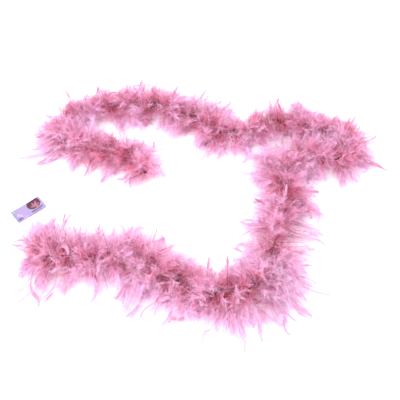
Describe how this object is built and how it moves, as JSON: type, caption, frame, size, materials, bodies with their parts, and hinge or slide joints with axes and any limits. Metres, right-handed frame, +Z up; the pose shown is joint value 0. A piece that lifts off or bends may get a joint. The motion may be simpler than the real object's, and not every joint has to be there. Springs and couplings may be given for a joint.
{
  "type": "feather boa",
  "caption": "Feather boa: a limp twisted cord ringed with soft down and long curling plumes, laid in a loose folded S, with a small hang tag tied to one end.",
  "frame": {"origin": "centre of the boa's outline, on the surface that it lies on", "axes": "+X along the longer side of the laid-out S, from the tagged side to the folded side; +Y away from the tagged end's run; +Z up"},
  "size_m": [0.7527, 0.6242, 0.0936],
  "materials": {
    "cord": "matt twisted yarn",
    "down": "soft matt down",
    "plume": "soft sheen on the vanes",
    "binding": "matt thread",
    "thread": "clear white thread",
    "card": "coated card"
  },
  "bodies": {
    "stretch_01": {"core_cord_01": "cord", "down_ruff_01": "down", "plumes_01": "plume", "end_binding_a": "binding"},
    "stretch_02": {"core_cord_02": "cord", "down_ruff_02": "down", "plumes_02": "plume"},
    "stretch_03": {"core_cord_03": "cord", "down_ruff_03": "down", "plumes_03": "plume"},
    "stretch_04": {"core_cord_04": "cord", "down_ruff_04": "down", "plumes_04": "plume"},
    "stretch_05": {"core_cord_05": "cord", "down_ruff_05": "down", "plumes_05": "plume"},
    "stretch_06": {"core_cord_06": "cord", "down_ruff_06": "down", "plumes_06": "plume"},
    "stretch_07": {"core_cord_07": "cord", "down_ruff_07": "down", "plumes_07": "plume"},
    "stretch_08": {"core_cord_08": "cord", "down_ruff_08": "down", "plumes_08": "plume"},
    "stretch_09": {"core_cord_09": "cord", "down_ruff_09": "down", "plumes_09": "plume"},
    "stretch_10": {"core_cord_10": "cord", "down_ruff_10": "down", "plumes_10": "plume"},
    "stretch_11": {"core_cord_11": "cord", "down_ruff_11": "down", "plumes_11": "plume"},
    "stretch_12": {"core_cord_12": "cord", "down_ruff_12": "down", "plumes_12": "plume", "end_binding_b": "binding"},
    "tag_thread": {"tag_thread": "thread"},
    "tag_card": {"tag_card": "card"}
  },
  "joints": [
    {"name": "cord_bend_01", "type": "hinge", "parent": "stretch_02", "child": "stretch_01", "pos_m": [-0.14, -0.143, 0.024], "axis": [-0.0538, -0.9986, 0], "range_deg": [-70, 70]},
    {"name": "cord_bend_02", "type": "hinge", "parent": "stretch_03", "child": "stretch_02", "pos_m": [0, -0.203, 0.024], "axis": [0, 0, 1], "range_deg": [-10, 75]},
    {"name": "cord_bend_03", "type": "hinge", "parent": "stretch_04", "child": "stretch_03", "pos_m": [0.125, -0.152, 0.024], "axis": [-0.9269, 0.3752, 0], "range_deg": [-70, 70]},
    {"name": "cord_bend_04", "type": "hinge", "parent": "stretch_04", "child": "stretch_05", "pos_m": [0.16, 0.005, 0.024], "axis": [0, 0, 1], "range_deg": [-75, 12]},
    {"name": "cord_bend_05", "type": "hinge", "parent": "stretch_05", "child": "stretch_06", "pos_m": [0.238, 0.091, 0.024], "axis": [-0.0394, -0.9992, 0], "range_deg": [-70, 70]},
    {"name": "cord_bend_06", "type": "hinge", "parent": "stretch_06", "child": "stretch_07", "pos_m": [0.236, 0.165, 0.024], "axis": [0, 0, 1], "range_deg": [-75, 15]},
    {"name": "cord_bend_07", "type": "hinge", "parent": "stretch_07", "child": "stretch_08", "pos_m": [0.11, 0.168, 0.024], "axis": [0.3359, -0.9419, 0], "range_deg": [-70, 70]},
    {"name": "cord_bend_08", "type": "hinge", "parent": "stretch_08", "child": "stretch_09", "pos_m": [-0.016, 0.197, 0.024], "axis": [0, 0, 1], "range_deg": [-75, 40]},
    {"name": "cord_bend_09", "type": "hinge", "parent": "stretch_09", "child": "stretch_10", "pos_m": [-0.164, 0.235, 0.024], "axis": [-0.0263, 0.9997, 0], "range_deg": [-70, 70]},
    {"name": "cord_bend_10", "type": "hinge", "parent": "stretch_10", "child": "stretch_11", "pos_m": [-0.282, 0.18, 0.024], "axis": [0, 0, 1], "range_deg": [-50, 30]},
    {"name": "cord_bend_11", "type": "hinge", "parent": "stretch_11", "child": "stretch_12", "pos_m": [-0.176, 0.101, 0.024], "axis": [0.2776, 0.9607, 0], "range_deg": [-70, 70]},
    {"name": "thread_swing", "type": "hinge", "parent": "stretch_01", "child": "tag_thread", "pos_m": [-0.2686, -0.1354, 0.024], "axis": [0.9707, -0.2402, 0], "range_deg": [0, 150]},
    {"name": "tag_turn", "type": "hinge", "parent": "tag_thread", "child": "tag_card", "pos_m": [-0.35293, -0.03158, 0.00145], "axis": [0, 0, 1], "range_deg": [-10, 120]}
  ]
}
